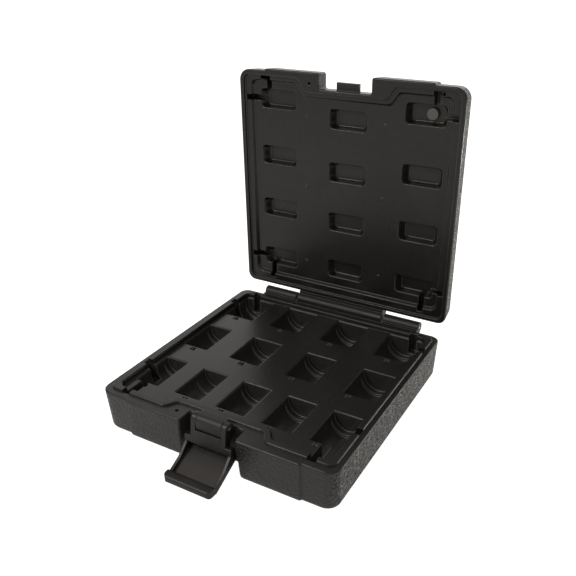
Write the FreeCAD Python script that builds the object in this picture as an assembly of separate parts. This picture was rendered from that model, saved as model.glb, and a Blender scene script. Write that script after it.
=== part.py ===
import FreeCAD, Part
import math
import os

# An open, empty moulded tool case: a base and a lid, each an outer shell with an inner tray joined
# round the rim, two hinge pins, a swinging latch on its own pin, and a round pad in the lid.
# Millimetres. X runs to the right, Y to the back, Z up. The origin is the middle of the underside.
# The lid is drawn shut and then turned open about the hinge.

Vec = FreeCAD.Vector
X_AXIS = Vec(1, 0, 0)
Y_AXIS = Vec(0, 1, 0)
Z_AXIS = Vec(0, 0, 1)

# Case body
CASE_WIDTH = 256.0
CASE_DEPTH = 252.0
BASE_HEIGHT = 45.0
LID_HEIGHT = 25.0
LID_OPEN_ANGLE = 90.0
RIM_GAP = 0.4
SHELL_WALL = 2.2
FLANGE = 2.2
WALL_LEAN = 2.0
EDGE_ROUND = 6.0
EDGE_STEPS = 5
RIM_CHAMFER = 0.8
FRONT_CORNER = 12.0
BACK_CORNER = 9.5
TRAY_FIT = 0.6
CUT_ROOM = 1.0

# Front of the case: two blocks stand out beside the latch's recess
BLOCK_OUT = 2.0
BLOCK_HALF = 96.0
BLOCK_SLOPE = 1.5
BLOCK_ROUND = 1.2
RECESS_WIDTH = 60.0
RECESS_DEPTH = 14.5
RECESS_ROUND = 2.5

# Rim edges, measured in from the case's outline; each one bends back round the latch
PANEL_SKIN = 2.0
LAND_BEND = 8.0
LAND_ROUND = 8.0

# Base rim: a low bead stands round the sunk panel
BASE_PANEL_SINK = 3.0
BASE_WALL_LEAN = 0.8
BASE_SIDE_LAND = 12.0
BASE_FRONT_LAND = 13.8
BASE_LATCH_LAND = 26.1
BASE_BACK_LAND = 11.6
BASE_BEND_START = 50.5
BEAD_WIDTH = 6.6
BEAD_RISE = 2.0
BEAD_ROUND = 0.8

# Lid rim: a shallow step that takes the bead, then the wall of the deeper panel
LID_STEP_SINK = 2.8
LID_STEP_LEAN = 0.6
LID_STEP_SIDE = 4.6
LID_STEP_FRONT = 4.4
LID_STEP_LATCH = 18.2
LID_STEP_BACK = 4.0
LID_STEP_BEND_START = 47.0
LID_PANEL_SINK = 6.5
LID_WALL_LEAN = 1.4
LID_WALL_SIDE = 12.7
LID_WALL_FRONT = 10.3
LID_WALL_LATCH = 23.4
LID_WALL_BACK = 13.2
LID_WALL_BEND_START = 50.0

# Socket pockets in the base, front row first; middles are shares of the panel's half width
POCKET_LENGTH = 47.5
POCKET_SKIN = 1.4
POCKET_STRAIGHT = 4.0
POCKET_FLARE = 0.8
POCKET_STEP = 2.5
POCKET_SHELF = 6.5
GROOVED_POCKET = (0, 1)
GROOVE_FROM = 29.0
GROOVE_WIDTH = 4.0
FIRST_ROW_MARGIN = 8.1
LAST_ROW_MARGIN = 1.4
ROW_WIDTHS = ((26.0, 29.0, 30.8, 31.0, 29.5),
              (29.2, 34.8, 34.2, 35.6),
              (36.6, 36.0, 37.0, 37.0))
ROW_MIDDLES = ((-0.86, -0.43, 0.0, 0.439, 0.862),
               (-0.86, -0.316, 0.26, 0.838),
               (-0.83, -0.312, 0.254, 0.81))

# Corner slots, cut from the corner pockets to the rim
SLOT_WIDTH = 9.0
SLOT_DEPTH = 18.0
SLOT_IN = 26.5
FRONT_SLOT_END = 7.0
BACK_SLOT_END = 4.8
SIDE_SLOT_END = 5.2
FRONT_SIDE_SLOT = 59.5
BACK_SIDE_SLOT = 37.5
SLOT_OVERLAP = 4.0

# Lid recesses
LID_RECESS_WIDTH = 43.0
LID_RECESS_LENGTH = 20.0
LID_RECESS_DEPTH = 10.0
LID_RECESS_CORNER = 4.5
LID_RECESS_LEAN = 0.4
LID_RECESS_END_LEAN = 3.4
LID_RECESS_ROUND = 1.2
LID_FLARE = 0.8
LID_COLUMN_MARGIN = 29.1
LID_COLUMN_SHIFT = 1.7
LID_FRONT_MARGIN = 18.1
LID_LATCH_MARGIN = 19.5
LID_BACK_MARGIN = 20.6
LID_ROWS = 4
LID_SLOT_WIDTH = 6.5
LID_SLOT_OUT = 10.5
LID_SLOT_FOOT = 6.0
LID_SLOT_FOOT_WIDTH = 4.0
LID_FRONT_SLOT_END = 5.6
LID_BACK_SLOT_END = 8.0
LID_SIDE_SLOT_END = 6.5
PIP_RADIUS = 1.6
PIP_RISE = 0.5
PIP_LEFT_SHIFT = -7.2
PIP_RIGHT_SHIFT = 0.0
PIP_ROWS = (-81.2, -3.2, 87.8)

# Round pad set in the lid's front right recess
PAD_RADIUS = 5.75
PAD_RISE = 4.0
PAD_SHIFT = 4.6

# Small blow hole through both flanges, left of the latch
BLOW_HOLE_RADIUS = 1.8
BLOW_HOLE_X = -41.0
BLOW_HOLE_IN = 9.0

# Hinge
HINGE_OUT = 10.3
HINGE_RADIUS = 6.2
HINGE_WEB = 16.0
KNUCKLE_HALF = 54.5
HINGE_END_GAP = 3.0
EAR_LENGTH = 42.5
HINGE_PIN_RADIUS = 1.5
HINGE_PIN_DEPTH = 22.0
PIN_PRESS = 0.02
PIN_RUN = 0.06
PIN_END_ROOM = 1.0

# Latch lug, pin and catch
LUG_HALF = 13.5
LUG_RADIUS = 6.2
LUG_BACK_GAP = 0.9
LUG_NOSE = 8.3
LUG_BRACE = 12.0
PIVOT_OUT = 7.1
PIVOT_UP = 1.6
LATCH_PIN_RADIUS = 1.5
LATCH_PIN_STAND_OUT = 0.4
CATCH_HALF = 12.9
CATCH_THICK = 3.1
CATCH_REACH = 7.5
CATCH_GAP = 0.6

# Latch, measured from its pin; the ears and the bar lean forward by the hang
LATCH_HANG = 5.9
LATCH_EAR_GAP = 0.5
LATCH_EAR_THICK = 5.0
LATCH_EAR_RADIUS = 6.0
BAR_INNER = 10.8
BAR_FRONT = 7.0
BAR_THICK = 6.3
BAR_END = 23.1
BAR_SHOULDER = 16.0
BAR_ROUND = 1.0
TRAY_DROP = 28.1
TRAY_LENGTH = 35.0
TRAY_LEAN = 64.4
TRAY_SKIN = 2.0
TRAY_HALF = 22.5
BACK_WALL = 2.5
RAIL_THICK = 3.0
RAIL_RISE = 3.2
LIP_REACH = 12.2
LIP_RISE = 7.6
LIP_ROUND = 2.6
LIP_CORNER = 5.5

# Places worked out from the sizes above
half_width = CASE_WIDTH / 2
front_y = -CASE_DEPTH / 2
back_y = CASE_DEPTH / 2
recess_y = front_y + RECESS_DEPTH
shell_top = BASE_HEIGHT - FLANGE
panel_z = BASE_HEIGHT - BASE_PANEL_SINK
bead_top = BASE_HEIGHT + BEAD_RISE
lid_rim_z = BASE_HEIGHT + RIM_GAP
lid_shell_z = lid_rim_z + FLANGE
lid_top_z = lid_rim_z + LID_HEIGHT
lid_step_z = lid_rim_z + LID_STEP_SINK
lid_panel_z = lid_rim_z + LID_PANEL_SINK
lid_floor_z = lid_panel_z + LID_RECESS_DEPTH
base_panel_half = half_width - BASE_SIDE_LAND - BASE_WALL_LEAN
base_panel_front = front_y + BASE_LATCH_LAND + BASE_WALL_LEAN
base_panel_back = back_y - BASE_BACK_LAND - BASE_WALL_LEAN
lid_panel_half = half_width - LID_WALL_SIDE - LID_WALL_LEAN
lid_panel_front = front_y + LID_WALL_FRONT + LID_WALL_LEAN
lid_panel_latch = front_y + LID_WALL_LATCH + LID_WALL_LEAN
lid_panel_back = back_y - LID_WALL_BACK - LID_WALL_LEAN
lid_column_pitch = lid_panel_half - LID_COLUMN_MARGIN
hinge_y = back_y + HINGE_OUT
hinge_z = BASE_HEIGHT + RIM_GAP / 2
web_y = back_y - WALL_LEAN / 2 - SHELL_WALL / 3
pivot_y = recess_y - PIVOT_OUT
pivot_z = BASE_HEIGHT + PIVOT_UP
lug_top = pivot_z + LUG_RADIUS
latch_ear_in = LUG_HALF + LATCH_EAR_GAP
latch_ear_out = latch_ear_in + LATCH_EAR_THICK


# Shapes used by several pieces

def inset(points, distance):
    """Moves every side of a closed outline inwards by one distance, and keeps its corner radii."""
    moved = []
    count = len(points)
    for index in range(count):
        before = Vec(*points[index - 1][:2])
        here = Vec(*points[index][:2])
        after = Vec(*points[(index + 1) % count][:2])
        first = (here - before).normalize()
        second = (after - here).normalize()
        inward = Vec(-first.y, first.x) + Vec(-second.y, second.x)
        along = distance / (1 + first.dot(second))
        moved.append((here.x + inward.x * along, here.y + inward.y * along, points[index][2]))
    return moved


def outline_wire(points, height):
    """Joins straight sides by tangent arcs; each point is two coordinates and a corner radius."""
    lift = Z_AXIS * height
    corners = []
    count = len(points)
    for index in range(count):
        before = Vec(*points[index - 1][:2])
        here = Vec(*points[index][:2])
        after = Vec(*points[(index + 1) % count][:2])
        radius = points[index][2]
        to_before = (before - here).normalize()
        to_after = (after - here).normalize()
        half_angle = to_before.getAngle(to_after) / 2
        tangent = radius / math.tan(half_angle)
        reach = radius / math.sin(half_angle) - radius
        bisector = (to_before + to_after).normalize()
        corners.append((here + to_before * tangent + lift, here + bisector * reach + lift,
                        here + to_after * tangent + lift))
    edges = []
    for index in range(count):
        start, middle, stop = corners[index]
        edges.append(Part.Arc(start, middle, stop).toShape())
        edges.append(Part.LineSegment(stop, corners[(index + 1) % count][0]).toShape())
    return Part.Wire(edges)


def stack(points, sections):
    """A solid through level copies of one outline; each section is a height and an inset."""
    wires = [outline_wire(inset(points, distance), height) for height, distance in sections]
    return Part.makeLoft(wires, True, True)


def rounded_box(width, length, corner, middle_x, middle_y):
    """Corner points of a rectangle with round corners."""
    left, right = middle_x - width / 2, middle_x + width / 2
    low, high = middle_y - length / 2, middle_y + length / 2
    return [(left, low, corner), (right, low, corner), (right, high, corner), (left, high, corner)]


def block(left, right, front, back, low, high):
    """A plain box between six planes."""
    return Part.makeBox(right - left, back - front, high - low, Vec(left, front, low))


def rod(radius, left, right, y, z):
    """A round bar along X."""
    return Part.makeCylinder(radius, right - left, Vec(left, y, z), X_AXIS)


def side_profile(points, left, right):
    """Pushes a closed outline, drawn in Y and Z, from left to right."""
    corners = [Vec(left, y, z) for y, z in points]
    face = Part.Face(Part.makePolygon(corners + corners[:1]))
    return face.extrude(X_AXIS * (right - left))


def round_profile(points, left, right):
    """Pushes an outline with round corners, drawn in Y and Z, from left to right."""
    solid = Part.Face(outline_wire(points, 0)).extrude(Z_AXIS * (right - left))
    stand_up = FreeCAD.Matrix(0, 0, 1, left, 1, 0, 0, 0, 0, 1, 0, 0, 0, 0, 0, 1)
    return solid.transformed(stand_up)


def mirrored(shape):
    """The same shape on the other side of the middle plane."""
    return shape.mirror(Vec(0, 0, 0), X_AXIS)


def both_sides(points):
    """Adds the left half of an outline whose right half runs from front to back."""
    return points + [(-x, y, radius) for x, y, radius in reversed(points)]


def case_outline():
    """The rim seen from above, with the blocks and the latch's recess at the front."""
    block_front = front_y - BLOCK_OUT
    recess_half = RECESS_WIDTH / 2
    return both_sides([(recess_half, recess_y, RECESS_ROUND),
                       (recess_half, block_front, RECESS_ROUND),
                       (BLOCK_HALF - BLOCK_SLOPE, block_front, BLOCK_ROUND),
                       (BLOCK_HALF, front_y, BLOCK_ROUND),
                       (half_width, front_y, FRONT_CORNER),
                       (half_width, back_y, BACK_CORNER)])


def rim_edge(side_land, front_land, latch_land, back_land, bend_start):
    """An edge inside the rim, by its distance from each side; it bends back behind the latch."""
    side = half_width - side_land
    return both_sides([(bend_start, front_y + latch_land, LAND_ROUND),
                       (bend_start + LAND_BEND, front_y + front_land, LAND_ROUND),
                       (side, front_y + front_land, LAND_ROUND),
                       (side, back_y - back_land, LAND_ROUND)])


def wall_sections(extra, start, height):
    """Levels and insets of a leaning wall that rises from a round edge, with an extra inset."""
    sections = []
    for step in range(EDGE_STEPS + 1):
        angle = math.pi / 2 * step / EDGE_STEPS
        level = start + EDGE_ROUND * (1 - math.cos(angle))
        lean = WALL_LEAN * (1 - level / height)
        sections.append((level, extra + lean + EDGE_ROUND * (1 - math.sin(angle))))
    sections.append((height, extra))
    return sections


outline = case_outline()


# Base shell: the grained outer wall, with the hinge ears behind and the latch lug in front
def make_base_shell():
    outside = stack(outline, wall_sections(0, 0, shell_top))
    inside = stack(outline, wall_sections(SHELL_WALL, SHELL_WALL, shell_top))
    slant = HINGE_RADIUS * math.sqrt(0.5)
    web = [(web_y, shell_top - HINGE_WEB), (hinge_y + slant, hinge_z - slant), (hinge_y, hinge_z),
           (back_y + RIM_GAP, hinge_z), (back_y + RIM_GAP, shell_top), (web_y, shell_top)]
    ear_in = KNUCKLE_HALF + HINGE_END_GAP
    ear_out = ear_in + EAR_LENGTH
    ear = side_profile(web, ear_in, ear_out).fuse(rod(HINGE_RADIUS, ear_in, ear_out, hinge_y, hinge_z))
    ear = ear.cut(rod(HINGE_PIN_RADIUS + PIN_PRESS, ear_in, ear_out, hinge_y, hinge_z))
    brace_y = recess_y + SHELL_WALL / 2
    lug_back = recess_y - LUG_BACK_GAP
    lug_low = pivot_z - LUG_NOSE
    nose_y = pivot_y - LUG_RADIUS
    lug_side = [(brace_y, lug_low - LUG_BRACE), (pivot_y, lug_low), (nose_y, lug_low), (nose_y, pivot_z),
                (pivot_y, pivot_z), (pivot_y, lug_top), (lug_back, lug_top), (lug_back, shell_top),
                (brace_y, shell_top)]
    lug = side_profile(lug_side, -LUG_HALF, LUG_HALF)
    lug = lug.fuse(rod(LUG_RADIUS, -LUG_HALF, LUG_HALF, pivot_y, pivot_z))
    lug = lug.cut(rod(LATCH_PIN_RADIUS + PIN_PRESS, -LUG_HALF, LUG_HALF, pivot_y, pivot_z))
    return outside.cut(inside).fuse([ear, mirrored(ear), lug]).removeSplitter()


# Base tray: the smooth inner wall, a flange on the shell's edge round a sunk panel of pockets
def pocket_rows():
    """Left, right and front of every pocket, as one list for each row from the front."""
    first = base_panel_front + FIRST_ROW_MARGIN
    last = base_panel_back - LAST_ROW_MARGIN - POCKET_LENGTH
    rows = []
    for row, widths in enumerate(ROW_WIDTHS):
        front = first + (last - first) * row / (len(ROW_WIDTHS) - 1)
        middles = [share * base_panel_half for share in ROW_MIDDLES[row]]
        rows.append([(middle - width / 2, middle + width / 2, front)
                     for middle, width in zip(middles, widths)])
    return rows


def trough(left, right, front, back, depth, top):
    """A trough along Y: upright sides down to a depth, and a half-round bottom below that."""
    middle = (left + right) / 2
    axis_z = panel_z - depth
    corners = [Vec(left, front, top), Vec(left, front, axis_z),
               Vec(right, front, axis_z), Vec(right, front, top)]
    lowest = Vec(middle, front, axis_z - (right - left) / 2)
    edges = [Part.LineSegment(corners[0], corners[1]).toShape(),
             Part.Arc(corners[1], lowest, corners[2]).toShape(),
             Part.LineSegment(corners[2], corners[3]).toShape(),
             Part.LineSegment(corners[3], corners[0]).toShape()]
    return Part.Face(Part.Wire(edges)).extrude(Y_AXIS * (back - front))


def slot_boxes():
    """The two slots at each corner of the base, as left, right, front and back."""
    rows = pocket_rows()
    half = SLOT_WIDTH / 2
    middle = half_width - SLOT_IN
    side_end = half_width - SIDE_SLOT_END
    first_front = rows[0][0][2]
    last_back = rows[-1][0][2] + POCKET_LENGTH
    corners = ((rows[0], front_y + FRONT_SIDE_SLOT, front_y + FRONT_SLOT_END, first_front + SLOT_OVERLAP),
               (rows[-1], back_y - BACK_SIDE_SLOT, last_back - SLOT_OVERLAP, back_y - BACK_SLOT_END))
    boxes = []
    for row, side_y, front, back in corners:
        boxes.append((-middle - half, -middle + half, front, back))
        boxes.append((middle - half, middle + half, front, back))
        boxes.append((-side_end, row[0][0] + SLOT_OVERLAP, side_y - half, side_y + half))
        boxes.append((row[-1][1] - SLOT_OVERLAP, side_end, side_y - half, side_y + half))
    return boxes


def make_base_tray():
    above = bead_top + CUT_ROOM
    skin_z = panel_z - PANEL_SKIN
    plate_inset = SHELL_WALL + TRAY_FIT
    edge = rim_edge(BASE_SIDE_LAND, BASE_FRONT_LAND, BASE_LATCH_LAND, BASE_BACK_LAND, BASE_BEND_START)
    flange = stack(outline, [(shell_top, 0), (BASE_HEIGHT - RIM_CHAMFER, 0), (BASE_HEIGHT, RIM_CHAMFER)])
    bead = stack(edge, [(shell_top, -BEAD_WIDTH), (bead_top - BEAD_ROUND, -BEAD_WIDTH),
                        (bead_top, BEAD_ROUND - BEAD_WIDTH)])
    plate = stack(outline, [(skin_z, plate_inset), (shell_top, plate_inset)])
    well = stack(edge, [(panel_z, BASE_WALL_LEAN), (bead_top - BEAD_ROUND, 0), (bead_top, -BEAD_ROUND),
                        (above, -BEAD_ROUND)])
    skin = POCKET_SKIN
    deep = POCKET_STRAIGHT + POCKET_STEP
    solids = [bead, plate]
    cuts = [well]
    for row_index, row in enumerate(pocket_rows()):
        for pocket_index, (left, right, front) in enumerate(row):
            back = front + POCKET_LENGTH
            deep_front, deep_back = front, back - POCKET_SHELF
            if (row_index, pocket_index) == GROOVED_POCKET:
                deep_front = front + GROOVE_FROM
                deep_back = deep_front + GROOVE_WIDTH
            for start, stop, depth in ((front, back, POCKET_STRAIGHT), (deep_front, deep_back, deep)):
                solids.append(trough(left - skin, right + skin, start - skin, stop + skin, depth, panel_z))
                cuts.append(trough(left, right, start, stop, depth, above))
            mouth = rounded_box(right - left, POCKET_LENGTH, POCKET_FLARE,
                                (left + right) / 2, front + POCKET_LENGTH / 2)
            cuts.append(stack(mouth, [(panel_z - POCKET_FLARE, 0), (panel_z, -POCKET_FLARE),
                                      (above, -POCKET_FLARE)]))
    floor = panel_z - SLOT_DEPTH
    for left, right, front, back in slot_boxes():
        solids.append(block(left - skin, right + skin, front - skin, back + skin, floor - skin, panel_z))
        cuts.append(block(left, right, front, back, floor, above))
    hole_place = Vec(BLOW_HOLE_X, front_y + BLOW_HOLE_IN, skin_z)
    cuts.append(Part.makeCylinder(BLOW_HOLE_RADIUS, above - skin_z, hole_place))
    return flange.fuse(solids).cut(cuts).removeSplitter()


# Lid shell: the outer wall of the lid, with the long hinge knuckle and the catch for the latch
def make_lid_shell():
    height = lid_top_z - lid_shell_z
    outer_wall = wall_sections(0, 0, height)
    inner_wall = wall_sections(SHELL_WALL, SHELL_WALL, height)
    outside = stack(outline, [(lid_top_z - drop, distance) for drop, distance in outer_wall])
    inside = stack(outline, [(lid_top_z - drop, distance) for drop, distance in inner_wall])
    slant = HINGE_RADIUS * math.sqrt(0.5)
    web = [(web_y, lid_shell_z + HINGE_WEB), (web_y, lid_shell_z), (back_y + RIM_GAP, lid_shell_z),
           (back_y + RIM_GAP, hinge_z), (hinge_y, hinge_z), (hinge_y + slant, hinge_z + slant)]
    knuckle = side_profile(web, -KNUCKLE_HALF, KNUCKLE_HALF)
    knuckle = knuckle.fuse(rod(HINGE_RADIUS, -KNUCKLE_HALF, KNUCKLE_HALF, hinge_y, hinge_z))
    bore_end = KNUCKLE_HALF - HINGE_PIN_DEPTH - PIN_END_ROOM
    bore = rod(HINGE_PIN_RADIUS + PIN_RUN, bore_end, KNUCKLE_HALF, hinge_y, hinge_z)
    knuckle = knuckle.cut([bore, mirrored(bore)])
    catch_low = lug_top + CATCH_GAP
    catch = block(-CATCH_HALF, CATCH_HALF, recess_y - CATCH_REACH, recess_y + SHELL_WALL / 2,
                  catch_low, catch_low + CATCH_THICK)
    return outside.cut(inside).fuse([knuckle, catch]).removeSplitter()


# Lid tray: the smooth inner wall of the lid, with shallow rounded recesses over the sockets
def recess_columns():
    """Middle of every lid recess, as one list for each column; the middle one starts further back."""
    side_front = lid_panel_front + LID_FRONT_MARGIN
    latch_front = lid_panel_latch + LID_LATCH_MARGIN
    back = lid_panel_back - LID_BACK_MARGIN
    columns = []
    for column, front in ((-1, side_front), (0, latch_front), (1, side_front)):
        middle_x = LID_COLUMN_SHIFT + column * lid_column_pitch
        pitch = (back - front) / (LID_ROWS - 1)
        columns.append([(middle_x, front + pitch * row) for row in range(LID_ROWS)])
    return columns


def recess(middle_x, middle_y, below):
    """The hollow of one lid recess: a flared mouth, ends that lean more than the sides, a round foot."""
    sections = ((below, -LID_FLARE, -LID_FLARE), (lid_panel_z, -LID_FLARE, -LID_FLARE),
                (lid_panel_z + LID_FLARE, 0, 0),
                (lid_floor_z - LID_RECESS_ROUND, LID_RECESS_END_LEAN, LID_RECESS_LEAN),
                (lid_floor_z, LID_RECESS_END_LEAN + LID_RECESS_ROUND, LID_RECESS_LEAN + LID_RECESS_ROUND))
    wires = []
    for height, end_inset, side_inset in sections:
        mouth = rounded_box(LID_RECESS_WIDTH - 2 * end_inset, LID_RECESS_LENGTH - 2 * side_inset,
                            LID_RECESS_CORNER, middle_x, middle_y)
        wires.append(outline_wire(mouth, height))
    return Part.makeLoft(wires, True, True)


def lid_slot_boxes():
    """The slots at each corner of the lid, as left, right, front and back."""
    columns = recess_columns()
    half = LID_SLOT_WIDTH / 2
    front_end = front_y + LID_FRONT_SLOT_END
    back_end = back_y - LID_BACK_SLOT_END
    boxes = []
    for side, column in ((-1, columns[0]), (1, columns[-1])):
        front_place, back_place = column[0], column[-1]
        middle = front_place[0] + side * LID_SLOT_OUT
        boxes.append((middle - half, middle + half, front_end, front_place[1]))
        boxes.append((middle - half, middle + half, back_place[1], back_end))
        foot = sorted((middle, middle + side * (half + LID_SLOT_FOOT)))
        boxes.append((foot[0], foot[1], front_end, front_end + LID_SLOT_FOOT_WIDTH))
        for place in (front_place, back_place):
            ends = sorted((place[0], side * (half_width - LID_SIDE_SLOT_END)))
            boxes.append((ends[0], ends[1], place[1] - half, place[1] + half))
    return boxes


def make_lid_tray():
    below = lid_rim_z - CUT_ROOM
    step_skin_z = lid_step_z + PANEL_SKIN
    skin_z = lid_panel_z + PANEL_SKIN
    plate_inset = SHELL_WALL + TRAY_FIT
    step_edge = rim_edge(LID_STEP_SIDE, LID_STEP_FRONT, LID_STEP_LATCH, LID_STEP_BACK, LID_STEP_BEND_START)
    wall_edge = rim_edge(LID_WALL_SIDE, LID_WALL_FRONT, LID_WALL_LATCH, LID_WALL_BACK, LID_WALL_BEND_START)
    flange = stack(outline, [(lid_rim_z, RIM_CHAMFER), (lid_rim_z + RIM_CHAMFER, 0), (lid_shell_z, 0)])
    plate = stack(outline, [(lid_shell_z, plate_inset), (step_skin_z, plate_inset)])
    tub = stack(wall_edge, [(lid_shell_z, -PANEL_SKIN), (skin_z, LID_WALL_LEAN - PANEL_SKIN)])
    step = stack(step_edge, [(below, 0), (lid_rim_z, 0), (lid_step_z, LID_STEP_LEAN)])
    well = stack(wall_edge, [(below, -LID_FLARE), (lid_step_z, -LID_FLARE), (lid_step_z + LID_FLARE, 0),
                             (lid_panel_z, LID_WALL_LEAN)])
    skin = POCKET_SKIN
    solids = [plate, tub]
    cuts = [step, well]
    for column in recess_columns():
        for middle_x, middle_y in column:
            casing = rounded_box(LID_RECESS_WIDTH, LID_RECESS_LENGTH, LID_RECESS_CORNER, middle_x, middle_y)
            solids.append(stack(casing, [(lid_panel_z, -skin), (lid_floor_z + skin, -skin)]))
            cuts.append(recess(middle_x, middle_y, below))
    for left, right, front, back in lid_slot_boxes():
        solids.append(block(left - skin, right + skin, front - skin, back + skin,
                            lid_shell_z, lid_floor_z + skin))
        cuts.append(block(left, right, front, back, below, lid_floor_z))
    hole_place = Vec(BLOW_HOLE_X, front_y + BLOW_HOLE_IN, below)
    cuts.append(Part.makeCylinder(BLOW_HOLE_RADIUS, step_skin_z - below, hole_place))
    pips = []
    for side, shift in ((-1, PIP_LEFT_SHIFT), (1, PIP_RIGHT_SHIFT)):
        pip_x = LID_COLUMN_SHIFT + side * lid_column_pitch / 2 + shift
        for pip_y in PIP_ROWS:
            place = Vec(pip_x, pip_y, lid_panel_z - PIP_RISE)
            pips.append(Part.makeCylinder(PIP_RADIUS, PIP_RISE + PANEL_SKIN / 2, place))
    return flange.fuse(solids).cut(cuts).fuse(pips).removeSplitter()


# Lid pad: the pale round pad that stands on the floor of the lid's front right recess
def make_lid_pad():
    middle_x, middle_y = recess_columns()[-1][0]
    place = Vec(middle_x + PAD_SHIFT, middle_y, lid_floor_z - PAD_RISE)
    return Part.makeCylinder(PAD_RADIUS, PAD_RISE, place)


# Hinge pins: a steel rod through each base ear into the end of the lid's knuckle
def make_hinge_pin():
    pin_in = KNUCKLE_HALF - HINGE_PIN_DEPTH
    pin_out = KNUCKLE_HALF + HINGE_END_GAP + EAR_LENGTH
    return rod(HINGE_PIN_RADIUS, pin_in, pin_out, hinge_y, hinge_z)


# Latch: one moulding, two ears on the pin, a bar that holds the catch, and a tray with a lip to pull
def level(points):
    """Turns points, given as forward of and above the pin, into Y and Z, and keeps their radii."""
    return [(pivot_y - point[0], pivot_z + point[1]) + tuple(point[2:]) for point in points]


def hang(points):
    """As level, for points of the upper half, which leans forward by the hang."""
    lean = math.radians(LATCH_HANG)
    turned = []
    for point in points:
        forward = point[0] * math.cos(lean) - point[1] * math.sin(lean)
        up = point[0] * math.sin(lean) + point[1] * math.cos(lean)
        turned.append((forward, up) + tuple(point[2:]))
    return level(turned)


def make_latch():
    lean = math.radians(TRAY_LEAN)
    along = (math.sin(lean), -math.cos(lean))
    outward = (math.cos(lean), math.sin(lean))
    bar_back = BAR_FRONT - BAR_THICK
    rail_out = TRAY_HALF + RAIL_THICK

    def on_tray(run, rise):
        """A point of the tray by its distance along the floor and above it."""
        return (bar_back + BACK_WALL + along[0] * run + outward[0] * rise,
                -TRAY_DROP + along[1] * run + outward[1] * rise)

    ear_side = hang([(LATCH_EAR_RADIUS, 0), (-LATCH_EAR_RADIUS, 0),
                     (bar_back, -BAR_END), (BAR_FRONT, -BAR_END)])
    ear = side_profile(ear_side, latch_ear_in, latch_ear_out)
    ear = ear.fuse(rod(LATCH_EAR_RADIUS, latch_ear_in, latch_ear_out, pivot_y, pivot_z))
    bar_side = hang([(bar_back, 0), (bar_back, -BAR_END), (BAR_FRONT, -BAR_END), (BAR_FRONT, 0)])
    bar = side_profile(bar_side, -latch_ear_in, latch_ear_in)
    bar = bar.cut(rod(BAR_INNER, -latch_ear_in, latch_ear_in, pivot_y, pivot_z))
    foot_side = hang([(bar_back, -BAR_SHOULDER, BAR_ROUND), (bar_back, -BAR_END, BAR_ROUND),
                      (BAR_FRONT, -BAR_END, BAR_ROUND), (BAR_FRONT, -BAR_SHOULDER, BAR_ROUND)])
    foot = round_profile(foot_side, -rail_out, rail_out)
    wall_top = hang([(bar_back, -BAR_END + BAR_ROUND), (bar_back + BACK_WALL, -BAR_END + BAR_ROUND)])
    floor_side = level([on_tray(0, 0), on_tray(TRAY_LENGTH, 0), on_tray(TRAY_LENGTH, -TRAY_SKIN),
                        on_tray(0, -TRAY_SKIN), on_tray(-BACK_WALL, -TRAY_SKIN)])
    floor = side_profile([wall_top[0], wall_top[1]] + floor_side, -rail_out, rail_out)
    rail_top = hang([(bar_back, -BAR_SHOULDER - BAR_ROUND), (BAR_FRONT - BAR_ROUND, -BAR_SHOULDER),
                     (BAR_FRONT, -BAR_END)])
    rail_side = level([on_tray(TRAY_LENGTH / 2, RAIL_RISE), on_tray(TRAY_LENGTH, RAIL_RISE),
                       on_tray(TRAY_LENGTH, -TRAY_SKIN), on_tray(0, -TRAY_SKIN),
                       on_tray(-BACK_WALL, -TRAY_SKIN)])
    rail = side_profile(rail_top + rail_side, TRAY_HALF, rail_out)
    end_forward, end_up = on_tray(TRAY_LENGTH - TRAY_SKIN, -TRAY_SKIN)
    lip_side = level([(end_forward, end_up, TRAY_SKIN / 2),
                      (end_forward + LIP_REACH, end_up, LIP_ROUND),
                      (end_forward + LIP_REACH, end_up + LIP_RISE, LIP_ROUND),
                      (end_forward + LIP_ROUND, end_up + LIP_RISE, LIP_ROUND)])
    lip_front = pivot_y - end_forward - LIP_REACH
    lip_plan = rounded_box(2 * rail_out, 2 * LIP_REACH, LIP_CORNER, 0, lip_front + LIP_REACH)
    lip_low = pivot_z + end_up - CUT_ROOM
    lip_bounds = stack(lip_plan, [(lip_low, 0), (lip_low + LIP_RISE + 2 * CUT_ROOM, 0)])
    lip = round_profile(lip_side, -rail_out, rail_out).common(lip_bounds)
    bore = rod(LATCH_PIN_RADIUS + PIN_RUN, -latch_ear_out, latch_ear_out, pivot_y, pivot_z)
    latch = foot.fuse([ear, mirrored(ear), bar, floor, rail, mirrored(rail), lip])
    return latch.cut(bore).removeSplitter()


# Latch pin: a steel rod held in the lug, its ends just proud of the latch's ears
def make_latch_pin():
    end = latch_ear_out + LATCH_PIN_STAND_OUT
    return rod(LATCH_PIN_RADIUS, -end, end, pivot_y, pivot_z)


def opened(shape):
    """Turns a piece of the shut lid back about the hinge to where the open lid stands."""
    turned = shape.copy()
    turned.rotate(Vec(0, hinge_y, hinge_z), X_AXIS, -LID_OPEN_ANGLE)
    return turned


hinge_pin = make_hinge_pin()
pieces = {
    "base_shell": make_base_shell(),
    "base_tray": make_base_tray(),
    "lid_shell": opened(make_lid_shell()),
    "lid_tray": opened(make_lid_tray()),
    "lid_pad": opened(make_lid_pad()),
    "hinge_pin_right": hinge_pin,
    "hinge_pin_left": mirrored(hinge_pin),
    "latch": make_latch(),
    "latch_pin": make_latch_pin(),
}

os.makedirs("parts", exist_ok=True)
for name, shape in pieces.items():
    shape.exportStep("parts/" + name + ".step")
    box = shape.BoundBox
    print(name, "solids", len(shape.Solids), "valid", shape.isValid(), "cm3", round(shape.Volume / 1000, 2),
          "from", round(box.XMin, 1), round(box.YMin, 1), round(box.ZMin, 1),
          "to", round(box.XMax, 1), round(box.YMax, 1), round(box.ZMax, 1))
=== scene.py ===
import math

import bmesh
import bpy
import numpy as np
from mathutils import Matrix, Vector


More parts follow.
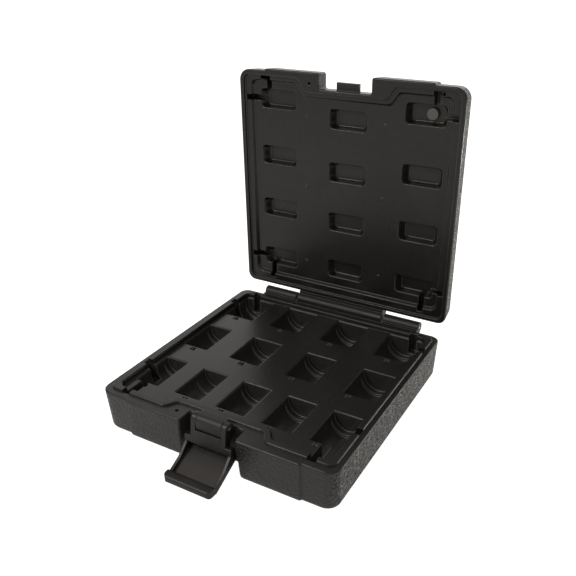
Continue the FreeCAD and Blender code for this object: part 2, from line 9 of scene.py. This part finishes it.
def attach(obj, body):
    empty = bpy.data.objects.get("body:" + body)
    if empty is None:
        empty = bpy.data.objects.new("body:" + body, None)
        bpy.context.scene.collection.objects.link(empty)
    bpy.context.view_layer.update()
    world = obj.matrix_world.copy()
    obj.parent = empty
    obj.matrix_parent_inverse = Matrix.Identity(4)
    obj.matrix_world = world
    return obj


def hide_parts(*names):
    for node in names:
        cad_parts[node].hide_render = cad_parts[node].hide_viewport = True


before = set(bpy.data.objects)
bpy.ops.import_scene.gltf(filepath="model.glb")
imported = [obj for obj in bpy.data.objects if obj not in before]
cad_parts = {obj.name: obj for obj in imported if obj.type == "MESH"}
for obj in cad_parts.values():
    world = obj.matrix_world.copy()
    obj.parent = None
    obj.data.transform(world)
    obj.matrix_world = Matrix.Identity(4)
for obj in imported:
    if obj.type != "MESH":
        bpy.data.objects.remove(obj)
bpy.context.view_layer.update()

# Base shell: the outside of the lower half, blow-moulded black polyethylene with a pebble grain.
# The hinge ears and the latch lug are moulded in one with it; like the latch notch, they are satin.

MOULDED_CREASE = 24
SAME_POINT = 2e-6
EDGE_SAMPLES = 10
SIDE_WALL_FROM = 0.119
SIDE_WALL_FULL = 0.126
GRAIN_STRETCH = (1.0, 0.5, 1.0)
PEBBLES_PER_METRE = 360.0
GRAIN_DARK = (0.0180, 0.0171, 0.0158, 1)
GRAIN_PALE = (0.0230, 0.0219, 0.0203, 1)
# Side walls: a speckle of painted shade and painted glints, for the low light along them.
SIDE_PAINTED_SHADE = (0.0080, 0.0076, 0.0070, 1)
SIDE_PAINTED_GLINT = (0.0600, 0.0570, 0.0530, 1)
SMOOTH_TONE = (0.0115, 0.0108, 0.0097)
SATIN_TONE = (0.0175, 0.0164, 0.0148)
# Edge colour: partly wear, partly a painted highlight along the rounded edges.
EDGE_WEAR_AND_HIGHLIGHT = (0.090, 0.085, 0.078, 1)
NOTCH_BOX = ((-0.0325, -0.1268, 0.002), (0.0325, -0.1070, 0.0449))
LUG_BOX = ((-0.0137, -0.130, 0.020), (0.0137, -0.1118, 0.060))
EARS_BOX = ((-0.110, 0.1262, 0.020), (0.110, 0.150, 0.060))


def moulding(node_name, name, body, crease):
    """The CAD solid as one skin: its loose triangles are joined, and only edges that turn by more than
    the crease, in degrees, stay crisp."""
    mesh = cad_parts[node_name].data.copy()
    mesh.name = name
    joined = bmesh.new()
    joined.from_mesh(mesh)
    bmesh.ops.remove_doubles(joined, verts=joined.verts, dist=SAME_POINT)
    joined.to_mesh(mesh)
    joined.free()
    if "custom_normal" in mesh.attributes:
        mesh.attributes.remove(mesh.attributes["custom_normal"])
    mesh.shade_smooth()
    mesh.set_sharp_from_angle(angle=math.radians(crease))
    mesh.materials.clear()
    piece = bpy.data.objects.new(name, mesh)
    bpy.context.scene.collection.objects.link(piece)
    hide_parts(node_name)
    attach(piece, body)
    return piece


def new_material(name):
    """A node material with nothing but its Principled shader."""
    material = bpy.data.materials.new(name)
    material.use_nodes = True
    return material, material.node_tree, material.node_tree.nodes["Principled BSDF"]


def add(tree, kind, **sockets):
    """A node with some of its inputs set; an input's name has _ for each space."""
    node = tree.nodes.new(kind)
    for label, value in sockets.items():
        node.inputs[label.replace("_", " ")].default_value = value
    return node


def place(tree, stretch=(1.0, 1.0, 1.0)):
    """The point on the piece in metres, times a factor along each axis; under one, it lengthens a pattern."""
    where = tree.nodes.new("ShaderNodeTexCoord")
    mapping = add(tree, "ShaderNodeMapping", Scale=stretch)
    tree.links.new(where.outputs["Object"], mapping.inputs["Vector"])
    return mapping.outputs["Vector"]


def noise(tree, point, size, detail=4.0):
    """Cloudy noise whose blotches are about one size across, in metres."""
    node = add(tree, "ShaderNodeTexNoise", Scale=1.0 / size, Detail=detail, Roughness=0.55)
    tree.links.new(point, node.inputs["Vector"])
    return node.outputs["Fac"]


def spread(tree, value, low, high, to_low, to_high):
    """Maps a value from one range to another and keeps it inside the second."""
    node = add(tree, "ShaderNodeMapRange", From_Min=low, From_Max=high, To_Min=to_low, To_Max=to_high)
    tree.links.new(value, node.inputs["Value"])
    return node.outputs["Result"]


def from_noise(tree, value, to_low, to_high):
    """Maps cloudy noise, which mostly lies between 0.3 and 0.7, to another range."""
    return spread(tree, value, 0.3, 0.7, to_low, to_high)


def dot(tree, first, second):
    """The dot product of two vectors; the second is three numbers or another node's output."""
    node = tree.nodes.new("ShaderNodeVectorMath")
    node.operation = "DOT_PRODUCT"
    tree.links.new(first, node.inputs[0])
    if isinstance(second, tuple):
        node.inputs[1].default_value = second
    else:
        tree.links.new(second, node.inputs[1])
    return node.outputs["Value"]


def blend_colour(tree, share, first, second):
    """A colour between two, by a share from 0 to 1; each is four numbers or another node's output."""
    node = tree.nodes.new("ShaderNodeMix")
    node.data_type = "RGBA"
    for label, colour in (("A", first), ("B", second)):
        if isinstance(colour, tuple):
            node.inputs[label].default_value = colour
        else:
            tree.links.new(colour, node.inputs[label])
    tree.links.new(share, node.inputs["Factor"])
    return node.outputs["Result"]


def rounded_normal(tree, edge):
    """The surface's normal as if its sharp edges were rounded, to a radius in metres."""
    rounding = add(tree, "ShaderNodeBevel", Radius=edge)
    rounding.samples = EDGE_SAMPLES
    return rounding.outputs["Normal"]


def bumps(tree, heights, edge):
    """Stacks bumps on rounded edges. Each is a height, a strength, as a number or another node's output,
    and a depth in metres."""
    normal = rounded_normal(tree, edge)
    for height, strength, depth in heights:
        bump = add(tree, "ShaderNodeBump", Distance=depth)
        if isinstance(strength, float):
            bump.inputs["Strength"].default_value = strength
        else:
            tree.links.new(strength, bump.inputs["Strength"])
        tree.links.new(height, bump.inputs["Height"])
        tree.links.new(normal, bump.inputs["Normal"])
        normal = bump.outputs["Normal"]
    return normal


def worn_edge(tree, edge):
    """One along sharp edges and nought on flats: how far the rounded normal leans from the true one."""
    full_lean = 0.9
    no_lean = 0.995
    surface = tree.nodes.new("ShaderNodeNewGeometry")
    agree = dot(tree, rounded_normal(tree, edge), surface.outputs["Normal"])
    return spread(tree, agree, full_lean, no_lean, 1.0, 0.0)


def sideways(tree):
    """One on the left and right outer walls and nought between them, by the distance from the middle."""
    axes = tree.nodes.new("ShaderNodeSeparateXYZ")
    tree.links.new(place(tree), axes.inputs["Vector"])
    reach = tree.nodes.new("ShaderNodeMath")
    reach.operation = "ABSOLUTE"
    tree.links.new(axes.outputs["X"], reach.inputs[0])
    return spread(tree, reach.outputs["Value"], SIDE_WALL_FROM, SIDE_WALL_FULL, 0.0, 1.0)


def grained_plastic():
    """Black polyethylene with a pebble grain: rounded cells about three millimetres across, clouds and
    fine grit. Relief is bolder on the side walls than in front and behind, and there the colour is a
    coarse speckle of painted glints and painted shade, paler overall than in front."""
    material, tree, shader = new_material("grained_black_plastic")
    point = place(tree, GRAIN_STRETCH)
    cells = add(tree, "ShaderNodeTexVoronoi")
    cells.feature = "SMOOTH_F1"
    cells.inputs["Scale"].default_value = PEBBLES_PER_METRE
    cells.inputs["Smoothness"].default_value = 0.4
    tree.links.new(point, cells.inputs["Vector"])
    pebble = spread(tree, cells.outputs["Distance"], 0.0, 0.8, 1.0, 0.0)
    cloud = noise(tree, point, 0.0028, 2.0)
    fine = noise(tree, point, 0.0009, 2.0)
    side = sideways(tree)

    pebble_top = spread(tree, pebble, 0.45, 0.80, 0.0, 1.0)
    front_tint = blend_colour(tree, pebble_top, GRAIN_DARK, GRAIN_PALE)
    # Side walls' colour: painted glints and painted shade in a coarse speckle.
    painted_glint_speckle = spread(tree, noise(tree, point, 0.0024, 1.0), 0.42, 0.58, 0.0, 1.0)
    side_painted_glints = blend_colour(tree, painted_glint_speckle, SIDE_PAINTED_SHADE, SIDE_PAINTED_GLINT)
    tree.links.new(blend_colour(tree, side, front_tint, side_painted_glints), shader.inputs["Base Color"])

    roughness = spread(tree, cloud, 0.35, 0.65, 0.20, 0.36)
    tree.links.new(roughness, shader.inputs["Roughness"])
    boldness = spread(tree, side, 0.0, 1.0, 0.12, 1.0)
    relief = [(pebble, boldness, 0.0030), (cloud, boldness, 0.0032), (fine, 0.4, 0.0002)]
    tree.links.new(bumps(tree, relief, 0.0006), shader.inputs["Normal"])
    return material


def smooth_plastic(name, gloss_rough, dull_rough, tone, edge_wear_and_highlight, edge):
    """Black polyethylene from a polished mould: faint flow marks from front to back, a bloom a fifth
    lighter or darker than its tone, and edges painted paler over three fifths of their rounding, partly
    as wear and partly as a painted highlight."""
    material, tree, shader = new_material(name)
    point = place(tree)
    flow = noise(tree, place(tree, (1.0, 0.35, 1.0)), 0.03, 3.0)
    cloud = noise(tree, point, 0.006)
    fine = noise(tree, point, 0.0004, 2.0)
    dark = tuple(0.8 * channel for channel in tone) + (1,)
    pale = tuple(1.2 * channel for channel in tone) + (1,)
    bloom = blend_colour(tree, from_noise(tree, cloud, 0.0, 1.0), dark, pale)
    # Edges painted paler: partly wear, partly a painted highlight on the rounding.
    colour = blend_colour(tree, worn_edge(tree, edge * 0.6), bloom, edge_wear_and_highlight)
    tree.links.new(colour, shader.inputs["Base Color"])
    tree.links.new(from_noise(tree, flow, gloss_rough, dull_rough), shader.inputs["Roughness"])
    relief = [(flow, 0.2, 0.0008), (fine, 0.2, 0.00005)]
    tree.links.new(bumps(tree, relief, edge), shader.inputs["Normal"])
    return material


def recoat(piece, material, low, high):
    """Gives a further material to the faces whose middles lie between two corners, in metres."""
    mesh = piece.data
    mesh.materials.append(material)
    count = len(mesh.polygons)
    middles = np.empty(count * 3, np.float32)
    slots = np.empty(count, np.int32)
    mesh.polygons.foreach_get("center", middles)
    mesh.polygons.foreach_get("material_index", slots)
    middles = middles.reshape(count, 3)
    inside = np.all((middles > low) & (middles < high), axis=1)
    mesh.polygons.foreach_set("material_index", np.where(inside, len(mesh.materials) - 1, slots))


grained = grained_plastic()
smooth = smooth_plastic("smooth_black_plastic", 0.27, 0.35, SMOOTH_TONE, EDGE_WEAR_AND_HIGHLIGHT, 0.0017)
satin = smooth_plastic("satin_black_plastic", 0.42, 0.50, SATIN_TONE, EDGE_WEAR_AND_HIGHLIGHT, 0.0012)
base_shell = moulding("base_shell", "base_outer_wall", "base", MOULDED_CREASE)
base_shell.data.materials.append(grained)
for satin_box in (NOTCH_BOX, LUG_BOX, EARS_BOX):
    recoat(base_shell, satin, *satin_box)


# Base tray: the inside of the lower half, the same plastic against a polished mould.
# Rim, sunk panel and half-round pockets are one sheet, joined to the shell round the rim.

# The pockets' plastic is painted paler, standing in for the light that falls into them.
POCKET_PAINTED_LIGHT_TONE = (0.0370, 0.0362, 0.0325)
# Pocket edges: partly wear, partly painted highlights along the shelf arcs and back edges.
POCKET_EDGE_WEAR_AND_HIGHLIGHT = (0.22, 0.212, 0.198, 1)
RIM_TONE = (0.0105, 0.0099, 0.0089)
# Rim edges: wear and a dim painted highlight.
RIM_EDGE_WEAR_AND_HIGHLIGHT = (0.030, 0.0285, 0.026, 1)
BELOW_PANEL_BOX = ((-0.130, -0.130, 0.0), (0.130, 0.130, 0.0405))
ABOVE_PANEL_BOX = ((-0.130, -0.130, 0.0425), (0.130, 0.130, 0.060))

base_tray = moulding("base_tray", "base_inner_tray", "base", MOULDED_CREASE)
base_tray.data.materials.append(smooth)
# A paler copy of the smooth plastic for the pockets: painted light inside them.
pocket_painted_light_plastic = smooth_plastic("pocket_painted_light_plastic", 0.27, 0.36, POCKET_PAINTED_LIGHT_TONE, POCKET_EDGE_WEAR_AND_HIGHLIGHT, 0.0022)
rim_plastic = smooth_plastic("rim_plastic", 0.35, 0.43, RIM_TONE, RIM_EDGE_WEAR_AND_HIGHLIGHT, 0.0008)
recoat(base_tray, pocket_painted_light_plastic, *BELOW_PANEL_BOX)
recoat(base_tray, rim_plastic, *ABOVE_PANEL_BOX)


# Size marks: raised numerals in front of the pockets, moulded in one with the tray.
# Plain figures for the sockets' sizes in millimetres, the same plastic as the panel under them.

PANEL_LEVEL = 0.042
MARK_SIZE = 0.0070
MARK_RISE = 0.0004
MARK_BOLD = 0.0002
MARK_AHEAD = 0.0052
# Figures' colour: painted shade to the left and front, a painted reflection to the right and back.
MARK_PAINTED_SHADE = (0.006, 0.0057, 0.0052, 1)
MARK_PAINTED_REFLECTION = (0.10, 0.0956, 0.0881, 1)
REFLECTION_DIRECTION = (1.0, 0.5, 0.0)
REFLECTION_FROM = -0.036
REFLECTION_FULL = -0.016
# Each row has its pockets' front edge, its numbers from left to right, and the middle of each.
MARK_ROWS = (
    (-0.091, (10, 11, 12, 13, 14), (-0.0990, -0.0496, -0.008, 0.0440, 0.0925)),
    (-0.01315, (15, 16, 17, 18), (-0.0990, -0.0370, 0.0230, 0.0860)),
    (0.0647, (19, 21, 22, 24), (-0.0970, -0.0356, 0.0260, 0.0930)))


def dull_plastic():
    """The tray's plastic where the mould was engraved: so rough that it mirrors nothing, with painted
    shade to the left and front and a paler painted reflection to the right and the back."""
    material, tree, shader = new_material("dull_black_plastic")
    point = place(tree)
    grit = noise(tree, point, 0.0005, 3.0)
    painted_light_share = spread(tree, dot(tree, point, REFLECTION_DIRECTION), REFLECTION_FROM, REFLECTION_FULL, 0.0, 1.0)
    tree.links.new(blend_colour(tree, painted_light_share, MARK_PAINTED_SHADE, MARK_PAINTED_REFLECTION), shader.inputs["Base Color"])
    shader.inputs["Specular IOR Level"].default_value = 0.05
    tree.links.new(from_noise(tree, grit, 0.7, 0.9), shader.inputs["Roughness"])
    tree.links.new(bumps(tree, [(grit, 0.5, 0.0002)], 0.0002), shader.inputs["Normal"])
    return material


marks = bmesh.new()
for pocket_front, numbers, middles in MARK_ROWS:
    for number, middle in zip(numbers, middles):
        outline = bpy.data.curves.new("size_mark", "FONT")
        outline.body = str(number)
        outline.size = MARK_SIZE
        outline.extrude = MARK_RISE
        outline.offset = MARK_BOLD
        outline.align_x = "CENTER"
        outline.align_y = "CENTER"
        holder = bpy.data.objects.new("size_mark", outline)
        bpy.context.scene.collection.objects.link(holder)
        numeral = bpy.data.meshes.new_from_object(holder)
        numeral.transform(Matrix.Translation((middle, pocket_front - MARK_AHEAD, PANEL_LEVEL)))
        marks.from_mesh(numeral)
        bpy.data.objects.remove(holder)
        bpy.data.curves.remove(outline)
        bpy.data.meshes.remove(numeral)
marks_mesh = bpy.data.meshes.new("size_marks")
marks.to_mesh(marks_mesh)
marks.free()
marks_mesh.materials.clear()
marks_mesh.materials.append(dull_plastic())
size_marks = bpy.data.objects.new("size_marks", marks_mesh)
bpy.context.scene.collection.objects.link(size_marks)
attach(size_marks, "base")


# Hinge pins and latch pin: drawn steel wire, cut to length and pushed through the ears.
# Their ends and the short lengths between the knuckles show bare metal.

TURNED_CREASE = 40
STEEL_DARK = (0.58, 0.58, 0.58, 1)
STEEL_PALE = (0.85, 0.84, 0.83, 1)


def drawn_steel():
    """Bright drawn wire: fine scratches, twenty times as long as they are wide, run along it."""
    material, tree, shader = new_material("drawn_steel")
    scratch = noise(tree, place(tree, (0.05, 1.0, 1.0)), 0.0003, 3.0)
    shader.inputs["Metallic"].default_value = 1.0
    tree.links.new(blend_colour(tree, scratch, STEEL_DARK, STEEL_PALE), shader.inputs["Base Color"])
    tree.links.new(from_noise(tree, scratch, 0.22, 0.4), shader.inputs["Roughness"])
    tree.links.new(bumps(tree, [(scratch, 0.2, 0.00005)], 0.0003), shader.inputs["Normal"])
    return material


steel = drawn_steel()
for pin_name in ("hinge_pin_left", "hinge_pin_right", "latch_pin"):
    pin = moulding(pin_name, pin_name + "_wire", "base", TURNED_CREASE)
    pin.data.materials.append(steel)


# Latch: one injection moulding in a harder black plastic, turning on the latch pin.
# Two ears carry a cross bar, and below it a sloped finger tray ends in a rounded lip.

LATCH_DARK = (0.0115, 0.0106, 0.0096, 1)
LATCH_PALE = (0.0165, 0.0152, 0.0138, 1)
# Finger tray floor: painted shade at the top under the cross bar, painted light towards the lip.
TRAY_PAINTED_SHADE = (0.0085, 0.0077, 0.0069, 1)
TRAY_PAINTED_LIGHT = (0.0320, 0.0262, 0.0220, 1)
TRAY_SHADE_FROM = 0.0185
TRAY_LIGHT_FULL = 0.0095
LATCH_EDGE = 0.0009
FINGER_TRAY_BOX = ((-0.0220, -0.151, 0.003), (0.0220, -0.122, 0.020))


def latch_plastic():
    """Injection-moulded plastic with a finer bloom than the case, and fine grit."""
    material, tree, shader = new_material("latch_plastic")
    point = place(tree)
    cloud = noise(tree, point, 0.004)
    fine = noise(tree, point, 0.0003, 2.0)
    colour = blend_colour(tree, from_noise(tree, cloud, 0.0, 1.0), LATCH_DARK, LATCH_PALE)
    tree.links.new(colour, shader.inputs["Base Color"])
    tree.links.new(from_noise(tree, cloud, 0.36, 0.44), shader.inputs["Roughness"])
    relief = [(cloud, 0.15, 0.0003), (fine, 0.3, 0.00006)]
    tree.links.new(bumps(tree, relief, LATCH_EDGE), shader.inputs["Normal"])
    return material


def rubbed_tray():
    """The finger tray's floor: the latch's plastic with painted shade under the cross bar, paler and browner
    down towards the lip as painted light.
    """
    material, tree, shader = new_material("shaded_latch_plastic")
    point = place(tree)
    axes = tree.nodes.new("ShaderNodeSeparateXYZ")
    tree.links.new(point, axes.inputs["Vector"])
    painted_light_share = spread(tree, axes.outputs["Z"], TRAY_SHADE_FROM, TRAY_LIGHT_FULL, 0.0, 1.0)
    cloud = noise(tree, point, 0.004)
    tree.links.new(blend_colour(tree, painted_light_share, TRAY_PAINTED_SHADE, TRAY_PAINTED_LIGHT), shader.inputs["Base Color"])
    tree.links.new(from_noise(tree, cloud, 0.36, 0.44), shader.inputs["Roughness"])
    tree.links.new(bumps(tree, [(cloud, 0.15, 0.0003)], LATCH_EDGE), shader.inputs["Normal"])
    return material


latch = moulding("latch", "latch_moulding", "latch", MOULDED_CREASE)
latch.data.materials.append(latch_plastic())
# The tray floor gets the copy with painted shade and painted light.
recoat(latch, rubbed_tray(), *FINGER_TRAY_BOX)


# Lid: the upper half, a shell and a tray made as the base's are, with shallow recesses over the pockets.
# It turns on the hinge pins and carries the catch for the latch in its front notch.

KNUCKLE_BOX = ((-0.060, 0.125, 0.030), (0.060, 0.165, 0.0553))
CATCH_BOX = ((-0.0131, 0.1442, 0.2931), (0.0131, 0.1480, 0.3020))

lid_shell = moulding("lid_shell", "lid_outer_wall", "lid", MOULDED_CREASE)
lid_shell.data.materials.append(grained)
for satin_box in (KNUCKLE_BOX, CATCH_BOX):
    recoat(lid_shell, satin, *satin_box)
lid_tray = moulding("lid_tray", "lid_inner_tray", "lid", MOULDED_CREASE)
lid_tray.data.materials.append(smooth)


# Lid pad: a small round disc of warm grey plastic.
# It is pressed on to the floor of the recess at the lid's front right.

PAD_DARK = (0.10, 0.088, 0.080, 1)
PAD_PALE = (0.15, 0.132, 0.120, 1)


def pad_plastic():
    """Dull warm grey plastic, a little mottled."""
    material, tree, shader = new_material("pad_plastic")
    cloud = noise(tree, place(tree), 0.0015)
    tree.links.new(blend_colour(tree, cloud, PAD_DARK, PAD_PALE), shader.inputs["Base Color"])
    tree.links.new(from_noise(tree, cloud, 0.5, 0.65), shader.inputs["Roughness"])
    tree.links.new(bumps(tree, [(cloud, 0.3, 0.0001)], 0.0006), shader.inputs["Normal"])
    return material


pad = moulding("lid_pad", "lid_pad_disc", "lid", TURNED_CREASE)
pad.data.materials.append(pad_plastic())


# Stand: a plain white sheet under the case, in a dim room that is bright at the back left.
# A low strip light shines along the right wall, and a soft box stands in front on the left.
# The sheet and the room look pure white, and light the case with less than that.

FLOOR_HALF = 20.0
FLOOR_COLOUR = (0.70, 0.685, 0.66, 1)
FLOOR_GLOW = 0.23
WHITE = (1, 1, 1, 1)
WARM_WHITE = (1.0, 0.975, 0.935)
BACK_LEFT = (-0.6, 1.0, 0.0)
BRIGHT_FROM = 0.62
BRIGHT_FULL = 1.0
ROOM_DIM = 0.34

floor_mesh = bpy.data.meshes.new("white_floor")
floor_corners = np.array([(-1, -1, 0), (1, -1, 0), (1, 1, 0), (-1, 1, 0)]) * FLOOR_HALF
floor_mesh.from_pydata(floor_corners.tolist(), [], [(0, 1, 2, 3)])
floor_object = bpy.data.objects.new("white_floor", floor_mesh)
bpy.context.scene.collection.objects.link(floor_object)
floor_material, floor_tree, floor_shader = new_material("white_floor")
floor_shader.inputs["Base Color"].default_value = FLOOR_COLOUR
floor_shader.inputs["Emission Color"].default_value = WHITE
floor_shader.inputs["Roughness"].default_value = 0.8
floor_seen = floor_tree.nodes.new("ShaderNodeLightPath").outputs["Is Camera Ray"]
glow = spread(floor_tree, floor_seen, 0.0, 1.0, FLOOR_GLOW, 1.0)
floor_tree.links.new(glow, floor_shader.inputs["Emission Strength"])
floor_mesh.materials.append(floor_material)

world = bpy.data.worlds.new("soft_white_room")
world.use_nodes = True
world_tree = world.node_tree
room = world_tree.nodes["Background"]
direction = world_tree.nodes.new("ShaderNodeTexCoord").outputs["Generated"]
room_seen = world_tree.nodes.new("ShaderNodeLightPath").outputs["Is Camera Ray"]
toward_back_left = dot(world_tree, direction, BACK_LEFT)
brightness = spread(world_tree, toward_back_left, BRIGHT_FROM, BRIGHT_FULL, ROOM_DIM, 1.0)
lit = world_tree.nodes.new("ShaderNodeMath")
lit.operation = "MAXIMUM"
world_tree.links.new(brightness, lit.inputs[0])
world_tree.links.new(room_seen, lit.inputs[1])
world_tree.links.new(lit.outputs["Value"], room.inputs["Strength"])
tint = blend_colour(world_tree, room_seen, WARM_WHITE + (1,), WHITE)
world_tree.links.new(tint, room.inputs["Color"])
bpy.context.scene.world = world


def soft_box(name, stands_at, aim, width, height, watts):
    """A flat rectangular lamp that faces a point, a little warm; lengths are in metres."""
    light = bpy.data.lights.new(name, "AREA")
    light.shape = "RECTANGLE"
    light.size = width
    light.size_y = height
    light.energy = watts
    light.color = WARM_WHITE
    lamp = bpy.data.objects.new(name, light)
    lamp.location = stands_at
    lamp.rotation_euler = (Vector(aim) - Vector(stands_at)).to_track_quat("-Z", "Y").to_euler()
    bpy.context.scene.collection.objects.link(lamp)


soft_box("right_strip_light", (0.95, 0.72, 0.034), (0.1, 0.0, 0.022), 0.6, 0.05, 7.5)
soft_box("front_soft_box", (-0.50, -0.85, 0.95), (0.0, 0.0, 0.05), 0.4, 0.4, 5.0)


# Camera: in front and to the right, above the lid's top edge and looking down, as the photograph was taken.
# The lens is a plain pinhole, shifted a little because the photograph's middle is off its axis.

CAMERA_PLACE = (0.31486, -0.50719, 0.42237)
FOCAL_PIXELS = 682.8
IMAGE_PIXELS = 576
CENTRE_PIXEL = (309.18, 302.14)
SENSOR_WIDTH = 36.0
AZIMUTH = math.radians(28.976)
ELEVATION = math.radians(27.324)
ROLL = math.radians(-0.156)

level_back = Vector((math.sin(AZIMUTH), -math.cos(AZIMUTH), 0))
back = math.cos(ELEVATION) * level_back + math.sin(ELEVATION) * Vector((0, 0, 1))
level_right = Vector((math.cos(AZIMUTH), math.sin(AZIMUTH), 0))
level_up = back.cross(level_right)
right = math.cos(ROLL) * level_right + math.sin(ROLL) * level_up
up = math.cos(ROLL) * level_up - math.sin(ROLL) * level_right
camera_data = bpy.data.cameras.new("photo_camera")
camera_data.sensor_width = SENSOR_WIDTH
camera_data.lens = FOCAL_PIXELS * SENSOR_WIDTH / IMAGE_PIXELS
camera_data.shift_x = (IMAGE_PIXELS / 2 - CENTRE_PIXEL[0]) / IMAGE_PIXELS
camera_data.shift_y = (CENTRE_PIXEL[1] - IMAGE_PIXELS / 2) / IMAGE_PIXELS
camera = bpy.data.objects.new("photo_camera", camera_data)
turn = Matrix((right, up, back)).transposed().to_4x4()
camera.matrix_world = Matrix.Translation(CAMERA_PLACE) @ turn
bpy.context.scene.collection.objects.link(camera)
bpy.context.scene.camera = camera
bpy.context.scene.view_settings.view_transform = "Standard"
